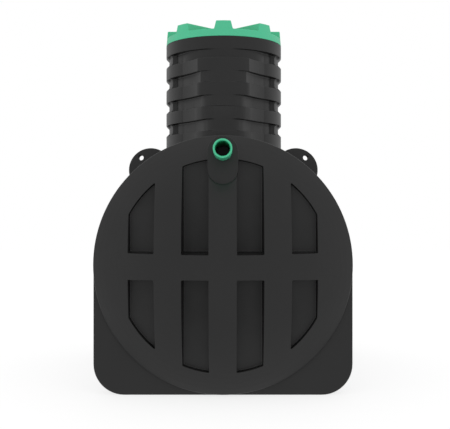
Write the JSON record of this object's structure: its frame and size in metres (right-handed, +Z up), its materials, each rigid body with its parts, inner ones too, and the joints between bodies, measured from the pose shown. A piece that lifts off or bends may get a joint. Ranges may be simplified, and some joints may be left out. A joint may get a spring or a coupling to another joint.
{
  "type": "septic tank",
  "caption": "Black moulded plastic septic tank with domed ribbed ends, a flat base, a ribbed access neck, a green grip lid and green inlet and outlet pipes.",
  "frame": {"origin": "centre of the underside, on the ground", "axes": "+Z up, +Y along the tank from the inlet end to the outlet end, +X to the right seen from the inlet end"},
  "size_m": [1.16, 1.904, 1.7595],
  "materials": {
    "black_polyethylene": "satin",
    "green_polyethylene": "satin"
  },
  "bodies": {
    "root": {"tank_floor": "black_polyethylene", "left_side_wall": "black_polyethylene", "right_side_wall": "black_polyethylene", "left_lower_vault": "black_polyethylene", "left_upper_vault": "black_polyethylene", "right_lower_vault": "black_polyethylene", "right_upper_vault": "black_polyethylene", "front_crown": "black_polyethylene", "rear_crown": "black_polyethylene", "front_base_wall": "black_polyethylene", "rear_base_wall": "black_polyethylene", "front_end_ring": "black_polyethylene", "front_end_posts": "black_polyethylene", "front_end_bar": "black_polyethylene", "front_end_panels": "black_polyethylene", "rear_end_ring": "black_polyethylene", "rear_end_posts": "black_polyethylene", "rear_end_bar": "black_polyethylene", "rear_end_panels": "black_polyethylene", "inlet_pad": "black_polyethylene", "outlet_pad": "black_polyethylene", "front_left_lifting_lug": "black_polyethylene", "front_right_lifting_lug": "black_polyethylene", "rear_left_lifting_lug": "black_polyethylene", "rear_right_lifting_lug": "black_polyethylene", "neck_front": "black_polyethylene", "neck_rear": "black_polyethylene", "neck_left": "black_polyethylene", "neck_right": "black_polyethylene", "neck_collar": "black_polyethylene", "lid_rim": "green_polyethylene", "lid_plate": "green_polyethylene", "lid_grip_ribs": "green_polyethylene", "lid_plug": "green_polyethylene", "inlet_pipe": "green_polyethylene", "outlet_pipe": "green_polyethylene"}
  },
  "joints": []
}
